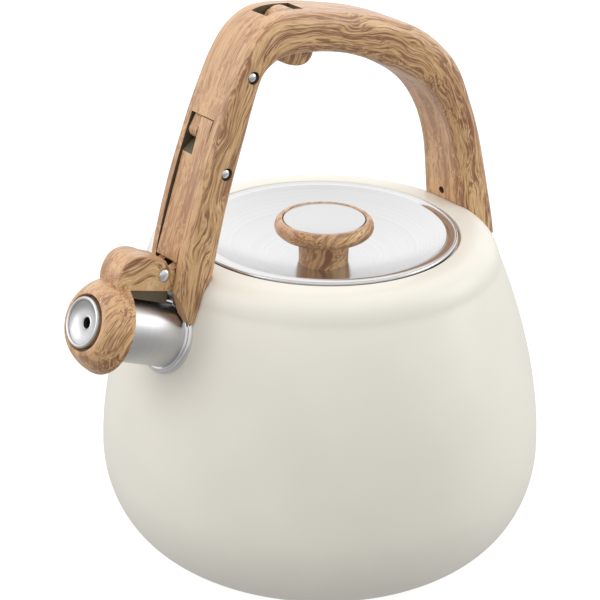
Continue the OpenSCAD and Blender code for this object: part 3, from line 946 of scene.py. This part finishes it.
class KETTLE_OT_spout(KettleOperator, bpy.types.Operator):
    """Build the brushed spout tube and its polished collar."""
    bl_idname = "kettle.spout"
    bl_label = "Spout"

    def execute(self, context):
        wall = 1.2 * MM
        root = -5 * MM
        round_z = 33.6 * MM
        tube = lathe("spout_pipe", [
            (SPOUT_R, root), (SPOUT_R, round_z),
            *arc((SPOUT_R - wall / 2, round_z), wall / 2, 0, 180, 6),
            (SPOUT_R - wall, round_z), (SPOUT_R - wall, root)], SPOUT)
        fit(tube, "kettle", "brushed_steel", ["tube_steel"], "spout_tube")

        collar = lathe("spout_bead", [
            (SPOUT_R, -4 * MM), (COLLAR_R, -4 * MM),
            *arc((COLLAR_R - 1.35 * MM, 0.95 * MM), 1.35 * MM, 0, 80, 9),
            *arc((SPOUT_R + 0.7 * MM, 2.35 * MM), 0.75 * MM, 12, 110, 8),
            (SPOUT_R, 3.1 * MM)], SPOUT)
        solid = lathe("trim", body_outline() + [(0, TOP_Z), (0, FOOT_Z)], segments=192)
        combined(collar, [solid])
        fit(collar, "kettle", "polished_steel", ["polished_steel"], "spout_collar")
        return {"FINISHED"}


class KETTLE_OT_handle(KettleOperator, bpy.types.Operator):
    """Build the loop handle with its channel, slot, trigger pocket and pin holes."""
    bl_idname = "kettle.handle"
    bl_label = "Handle"

    def execute(self, context):
        handle = printed(handle_bar(self.sizes.edge_r))
        gap = 0.3 * MM
        saddle = [p + Vector((gap, gap / 2)) for p in body_outline()[4::3]]
        pivot = flat(TRIGGER_PIVOT)
        nose_way = bar_outline(pivot, NOSE_AT, 6.2 * MM) + arc(NOSE_AT, NOSE_R + 0.6 * MM, 0, 345, 23)
        toe = Matrix.Translation(mm(-76, 0, 112)) @ Matrix.Rotation(math.radians(-14), 4, "Y")
        feet = [block((-120, -40, 100), (120, 40, 124.4)), block((-16, -40, 0), (0, 40, 25.8), toe)]
        tools = [
            block((-12, -CHANNEL_HALF, -40), (ROD_BACK + 0.4, CHANNEL_HALF, ROD_TOP + 0.4), LEG),
            block((ROD_FACE, -3.3, GUIDE[1] - 10.5), (15.6, 3.3, GUIDE[1] + 11.5), LEG),
            rod(2.7 * MM, 20 * MM, shifted(LEG, SPRING_AT[0], 0, SPRING_AT[1])),
            block((-4, -2.15, -30), (20, 2.15, -0.7), LEG),
            block((12.2, -6.2, -30), (16, 6.2, 20.3), LEG),
            block((-35, -5, 228), (-17, 5, 260)),
            block((-35.5, -5, 205), (-9.6, 5, 232)),
            block((71.8, -7.2, 110), (74.2, 7.2, 154.5)),
            rod(1.6 * MM, 20 * MM, shifted(LEG, 10, 0, 12) @ TO_X),
            rod(1.6 * MM, 16 * MM, Matrix.Translation(mm(60, 0, 145)) @ TO_X),
            slab("way", swept(bar_outline(pivot, TRIGGER_REST, 7.8 * MM)), -4.99 * MM, 4.99 * MM),
            slab("way", swept(nose_way), 0.5 * MM, 7.3 * MM),
            across(TRIGGER_PIVOT, 4.8 * MM, 5.01 * MM),
            across(TRIGGER_PIVOT, PIN_R, 20 * MM),
            across(GUIDE_AT, PIN_R, 20 * MM),
            rod(COLLAR_R + 0.5 * MM, 23.6 * MM, shifted(SPOUT, 0, 0, -20), 64),
            rod(SPOUT_R + 0.7 * MM, 50 * MM, shifted(SPOUT, 0, 0, -20.5), 64),
            lathe("saddle", saddle + [(0, TOP_Z + gap), (0, FOOT_Z)], segments=128),
        ]
        for at in (TRIGGER_PIVOT, GUIDE_AT):
            for side in (-1, 1):
                sink = across(at, PIN_HEAD_R + 0.15 * MM, 5 * MM)
                sink.data.transform(Matrix.Translation((0, side * (PIN_HALF + 4.9 * MM), 0)))
                tools.append(sink)
        combined(handle, feet + inner(tools))
        store_grain(handle, bent_grain())
        fit(handle, "kettle", "wood_look", WOOD, "handle")
        return {"FINISHED"}


class KETTLE_OT_trigger(KettleOperator, bpy.types.Operator):
    """Build the squeeze trigger and the push rod in the front leg."""
    bl_idname = "kettle.trigger"
    bl_label = "Trigger and rod"

    def execute(self, context):
        pivot = flat(TRIGGER_PIVOT)
        trigger = printed(rounded(slab("trigger_wood", trigger_block(), -4.5 * MM, 4.5 * MM), 1.1 * MM))
        nose = across(Vector((NOSE_AT.x, 0, NOSE_AT.y)), NOSE_R, 2.8 * MM)
        nose.data.transform(Matrix.Translation((0, 3.9 * MM, 0)))
        parts = [
            slab("bar", bar_outline(pivot, TRIGGER_REST, 6.4 * MM), -4.4 * MM, 4.4 * MM),
            slab("bar", bar_outline(pivot, NOSE_AT, 5 * MM), 1.1 * MM, 6.7 * MM),
            rounded(nose, 0.8 * MM),
            across(TRIGGER_PIVOT, 4.2 * MM, 4.45 * MM)]
        combined(trigger, parts, "UNION")
        combined(trigger, [across(TRIGGER_PIVOT, PIN_R + 0.05 * MM, 20 * MM)])
        centre = TRIGGER_PIVOT + Vector((0, 0, 10 * MM))
        store_grain(trigger, straight_grain(centre, Vector((0.45, 0.05, 1.0))))
        fit(trigger, "trigger", "wood_look", WOOD, "trigger_lever")

        half = CHANNEL_HALF - 0.5
        bar = block((ROD_FACE, -half, tail_place().y + TAIL_R + 0.2), (ROD_BACK, half, ROD_TOP),
                    LEG, "rod_wood")
        rod_bar = printed(rounded(bar, 0.5 * MM, 3))
        rib_back = GUIDE[0] + PIN_R / MM + 1.3
        rib = block((ROD_FACE + 1, -3, GUIDE[1] - 4.2), (rib_back, 3, GUIDE[1] + 8.4), LEG)
        combined(rod_bar, [rib], "UNION")
        nose_rel = NOSE_AT - pivot
        shift = turned(nose_rel, TRIGGER_TURN) - nose_rel - flat(ROD_DOWN) * ROD_TRAVEL
        along = shift.normalized()
        foot = NOSE_AT + (NOSE_R + 0.25 * MM) * Vector((along.y, -along.x))
        lift = Vector((-20, 30)) * MM
        near, far = foot - along * (30 * MM), foot + along * (30 * MM)
        window = slab("window", [near, far, far + lift, near + lift], 0.4 * MM, 20 * MM)
        r = PIN_R + 0.08 * MM
        x, z = GUIDE[0] * MM, GUIDE[1] * MM
        slot_ends = [across(LEG @ Vector((x, 0, z + up)), r, 10 * MM) for up in (0, ROD_TRAVEL)]
        side = [(x - r, z), (x + r, z), (x + r, z + ROD_TRAVEL), (x - r, z + ROD_TRAVEL)]
        slot_mid = slab("slot", side, -10 * MM, 10 * MM, LEG)
        combined(rod_bar, inner([window, slot_mid] + slot_ends))
        store_grain(rod_bar, bent_grain())
        fit(rod_bar, "rod", "wood_look", WOOD, "push_rod")
        return {"FINISHED"}


class KETTLE_OT_whistle(KettleOperator, bpy.types.Operator):
    """Build the whistle cap with its arm, and the whistle's front plate."""
    bl_idname = "kettle.whistle"
    bl_label = "Whistle cap"

    def execute(self, context):
        ball_r, ball_u, back, front = (v * MM for v in (20.2, 26.9, 31.7, 42.7))
        liner_r, liner_front = 15.2 * MM, 37.4 * MM
        seat_r = WHISTLE_R + 1.1 * MM
        lip = 0.75 * MM

        def ball(u):
            return math.sqrt(ball_r ** 2 - (u - ball_u) ** 2)
        skin = [(ball(u), u) for u in (back + 1.1 * MM + 9.4 * MM * i / 24 for i in range(25))]
        outline = [
            (liner_r + 0.4 * MM, back),
            *arc((ball(back + lip) - lip, back + lip), lip, -90, 8, 6), *skin,
            (seat_r + 0.55 * MM, front - 0.12 * MM), (seat_r + 0.2 * MM, front - 0.1 * MM),
            (seat_r, front - 0.4 * MM), (seat_r, liner_front),
            (liner_r, liner_front), (liner_r, back + 0.5 * MM)]
        cap = printed(lathe("cap_wood", outline, SPOUT, 144))

        tail = tail_place()
        bottom = tail.y + TAIL_R + 0.2
        notch = turned((ROD_FACE - 0.35, bottom - ROD_TRAVEL / MM - 0.35), CAP_TURN)
        notch_up = notch + 5.2 * Vector((-math.sin(CAP_TURN), math.cos(CAP_TURN)))
        hump = curve(in_mm([(-107, 145.5), (-105.5, 156), (-97.5, 158.8), (-88, 152)]), 26)
        heel = [leg_point(tail.x + TAIL_R * math.cos(a), tail.y + TAIL_R * math.sin(a))
                for a in (math.radians(100 - i * 20) for i in range(9))]
        line = hump + [leg_point(*notch_up), leg_point(*notch)] + heel + in_mm(
            [(-79.6, 137), (-81.5, 136.9), (-101, 142.2), (-106, 133)])
        arm = printed(rounded(slab("arm", line, -ARM_HALF, ARM_HALF), self.sizes.arm_edge, 7, 42))
        # The arm's low downward faces take the near-black moulding: painted shade under the arm.
        for face in arm.data.polygons:
            face.material_index = int(face.normal.z < -0.9 and face.center.z < 142.5 * MM)
        core = rod(15.8 * MM, 30 * MM, shifted(SPOUT, 0, 0, 32.7), 96)
        # A near-black rib from the arm's underside nearly down to the tube: a dark block standing in for the
        # shade and dark reflection in the gap between arm and tube.
        rib = slab("rib", in_mm([(-84, 138), (-84, 132.1), (-103.5, 140.1), (-103.5, 143)]),
                   -6 * MM, 6 * MM)
        combined(arm, inner([rib]), "UNION")
        combined(arm, [core])
        combined(cap, [arm], "UNION")
        slot_line = [leg_point(*p) for p in ((-3.4, -2), (-2, -16), (30, -16), (30, 29.5), (2.3, 1.9))]
        combined(cap, inner([
            slab("slot", slot_line, -2.6 * MM, 2.6 * MM),
            across(CAP_HINGE, 3.7 * MM, 2.6 * MM),
            across(CAP_HINGE, HINGE_PIN_R + 0.05 * MM, 20 * MM)]))
        centre = SPOUT @ Vector((0, 0, ball_u))
        on_ball = straight_grain(centre + Vector((0, 5 * MM, 0)), Vector((-0.62, 0.10, -0.78)))
        about = Vector((-95.0, 0, 136.0)) * MM

        def cap_grain(p, face):
            if (face.center - centre).length < ball_r + 0.25 * MM:
                return on_ball(p, face)
            q = p - about
            radius = math.hypot(q.x, q.z)
            return math.atan2(q.x, q.z) * 17.0, radius / MM, p.y / MM
        store_grain(cap, cap_grain)
        fit(cap, "cap", "wood_look", WOOD, "whistle_cap")

        r = WHISTLE_R
        hole = 2.25 * MM
        dip = [(hole + 0.7 * MM + (r - hole - 2.2 * MM) * t, (41.3 + 0.15 * t + 1.6 * t ** 3.2) * MM)
               for t in (i / 14 for i in range(15))]
        bowl = [(hole, 41.1 * MM), (hole + 0.3 * MM, 41.4 * MM), *dip]
        rim = arc((r - 0.75 * MM, 43.25 * MM), 0.75 * MM, 175, 0, 12)
        inside = [(r, 36.8 * MM), (r - 0.7 * MM, 36.8 * MM), (r - 0.7 * MM, 42.2 * MM),
                  (r - 2.6 * MM, 41.0 * MM), (hole, 40.6 * MM)]
        plate = lathe("whistle_face", bowl + rim + inside, SPOUT, 120)
        fit(plate, "cap", "polished_steel", ["knob_steel"], "whistle_front_plate")
        return {"FINISHED"}


class KETTLE_OT_fittings(KettleOperator, bpy.types.Operator):
    """Build the pins and the spring, and finish the small steel parts of the frame."""
    bl_idname = "kettle.fittings"
    bl_label = "Pins, spring and fittings"

    def execute(self, context):
        s = self.sizes
        steel = finish("polished_steel")
        across_y = Matrix.Rotation(math.pi / 2, 4, "X")
        pins = pin_tree()
        for name, node, at, r, half, head_r, head_h in (
                ("trigger_pin_steel", "trigger_pin", TRIGGER_PIVOT, PIN_R, PIN_HALF, PIN_HEAD_R, PIN_HEAD_H),
                ("guide_pin_steel", "guide_pin", GUIDE_AT, PIN_R, PIN_HALF, PIN_HEAD_R, PIN_HEAD_H),
                ("hinge_pin_steel", "hinge_pin", CAP_HINGE,
                 HINGE_PIN_R, ARM_HALF + 0.1 * MM, 2.7 * MM, 1.1 * MM)):
            pin = pins.build(name, {
                "Radius": r, "Length": 2 * half + 0.1 * MM, "Dome": 0.2 * MM, "Material": steel},
                Matrix.Translation(at) @ across_y)
            combined(pin, [self.head(at, side, half, head_r, head_h) for side in (-1, 1)], "UNION")
            fit(pin, "kettle", "polished_steel", ["polished_steel"], node)

        z0, z1 = SPRING_AT[1] * MM, 40.4 * MM
        spring = spring_tree().build("return_coil", {
            "Turns": s.turns, "Coil radius": 2.4 * MM - s.wire_r, "Wire radius": s.wire_r,
            "Height": z1 - z0 - 2 * s.wire_r, "Material": steel},
            LEG @ Matrix.Translation((SPRING_AT[0] * MM, 0, z0 + s.wire_r)))
        fit(spring, "kettle", "polished_steel", ["polished_steel"], "return_spring")

        looks = {
            "base_core": "dull_steel", "front_bracket": "dull_steel", "rear_bracket": "dull_steel",
            "front_screw": "dull_steel", "rear_screw": "dull_steel", "lid_skirt": "inner_steel",
            "knob_screw": "polished_steel", "knob_washer": "dull_steel", "cap_liner": "polished_steel",
            "whistle_rear_plate": "dull_steel"}
        for node, look in looks.items():
            mesh = frame["nodes"][node].data
            mesh.materials.clear()
            mesh.materials.append(finish(look))
        return {"FINISHED"}

    def head(self, at, side, half, r, h):
        """The domed head at one end of a pin."""
        angles = [math.radians(9 * i) for i in range(11)]
        dome = [(r * math.cos(a), h * math.sin(a)) for a in angles]
        turn = Matrix.Rotation(-side * math.pi / 2, 4, "X")
        place = Matrix.Translation((at.x, side * half, at.z)) @ turn
        return lathe("head", [(0, 0)] + dome, place, 48)


class KETTLE_OT_stage(KettleOperator, bpy.types.Operator):
    """Set up the floor, the light and the camera."""
    bl_idname = "kettle.stage"
    bl_label = "Stage"

    def execute(self, context):
        scene = context.scene
        bm = bmesh.new()
        bmesh.ops.create_grid(bm, x_segments=1, y_segments=1, size=14)
        floor = piece_from("floor", bm)
        paint = Paint(bpy.data.materials.new("floor_white"))
        speckle = paint.noise(paint.place(), 40.0, 2.0)
        floor.data.materials.append(paint.surface(
            Base_Color=paint.blend(speckle, (0.27, 0.27, 0.27), (0.29, 0.29, 0.29)), Roughness=0.9,
            Specular_IOR_Level=0.0, Emission_Color=(1.0, 1.0, 1.0, 1.0), Emission_Strength=0.86))
        floor.visible_diffuse = False
        floor.visible_glossy = False
        self.world(scene)
        self.softbox("key", (-1.3, 0.5, 0.9), 1.2, 7.0)
        self.softbox("rim", (1.3, -0.9, 0.7), 1.0, 6.0)
        self.camera(scene)
        scene.view_settings.view_transform = "Standard"
        scene.view_settings.look = "None"
        return {"FINISHED"}

    def world(self, scene):
        """A white room: bright overhead, dimmer towards the floor and on the front's side."""
        scene.world = bpy.data.worlds.new("studio")
        sky = Paint(scene.world)
        way = sky.node("ShaderNodeTexCoord")["Generated"]
        height = sky.node("ShaderNodeMapRange", {}, {
            "Value": sky.split(way)[2], "From Min": -1.0})["Result"]
        stops = [(at, (*tone, 1)) for at, tone in (
            (0.0, (0.45, 0.445, 0.435)), (0.40, [0.55] * 3), (0.52, [0.96] * 3),
            (0.66, [1.12] * 3), (1.0, [1.15] * 3))]
        shade = sky.node("ShaderNodeValToRGB", {"stops": stops}, {"Fac": height})["Color"]
        front = sky.node("ShaderNodeVectorMath", {"operation": "DOT_PRODUCT"}, {
            0: way, 1: (-0.62, -0.78, 0.0)})["Value"]
        dimmed = sky.node("ShaderNodeMapRange", {}, {
            "Value": front, "From Min": -1.0, "To Min": 1.22, "To Max": 0.72})["Result"]
        back = sky.node("ShaderNodeBackground", {}, {"Color": shade, "Strength": dimmed})
        sky.node("ShaderNodeOutputWorld", {}, {"Surface": back["Background"]})

    def softbox(self, name, place, size, power):
        light = bpy.data.lights.new(name, "AREA")
        light.shape = "SQUARE"
        light.size = size
        light.energy = power
        lamp = bpy.data.objects.new(name, light)
        bpy.context.scene.collection.objects.link(lamp)
        aim = Vector((0, 0, 0.12)) - Vector(place)
        lamp.matrix_world = Matrix.Translation(place) @ aim.to_track_quat("-Z", "Y").to_matrix().to_4x4()

    def camera(self, scene):
        data = bpy.data.cameras.new("camera")
        data.lens = 117.2
        data.sensor_width = 36
        data.clip_end = 60
        camera = bpy.data.objects.new("camera", data)
        scene.collection.objects.link(camera)
        ahead = Vector((0.5602, 0.7170, -0.4148)).normalized()
        level = ahead.cross(Vector((0, 0, 1))).normalized()
        up = level.cross(ahead)
        roll = math.radians(1.0)
        right = level * math.cos(roll) + up * math.sin(roll)
        up = right.cross(ahead)
        turn = Matrix((right, up, -ahead)).transposed()
        camera.matrix_world = Matrix.Translation((-0.4757, -0.5932, 0.4556)) @ turn.to_4x4()
        scene.camera = camera


class KETTLE_PT_panel(bpy.types.Panel):
    """Lists the kettle's building steps and settings."""
    bl_label = "Kettle"
    bl_idname = "KETTLE_PT_panel"
    bl_space_type = "VIEW_3D"
    bl_region_type = "UI"
    bl_category = "Kettle"

    def draw(self, context):
        for group in (context.scene.kettle_sizes, context.scene.kettle_colours):
            for name in group.__annotations__:
                self.layout.prop(group, name)
        for step in STEPS:
            self.layout.operator(step.bl_idname)


STEPS = (KETTLE_OT_stage, KETTLE_OT_body, KETTLE_OT_lid, KETTLE_OT_spout, KETTLE_OT_handle,
         KETTLE_OT_trigger, KETTLE_OT_whistle, KETTLE_OT_fittings)
CLASSES = (KettleSizes, KettleColours) + STEPS + (KETTLE_PT_panel,)


def register():
    for cls in CLASSES:
        bpy.utils.register_class(cls)
    bpy.types.Scene.kettle_sizes = PointerProperty(type=KettleSizes)
    bpy.types.Scene.kettle_colours = PointerProperty(type=KettleColours)


def unregister():
    del bpy.types.Scene.kettle_colours
    del bpy.types.Scene.kettle_sizes
    for cls in reversed(CLASSES):
        bpy.utils.unregister_class(cls)


def main():
    register()
    bpy.ops.kettle.stage()
    bpy.ops.kettle.body()
    bpy.ops.kettle.lid()
    bpy.ops.kettle.spout()
    bpy.ops.kettle.handle()
    bpy.ops.kettle.trigger()
    bpy.ops.kettle.whistle()
    bpy.ops.kettle.fittings()


if __name__ == "__main__":
    main()
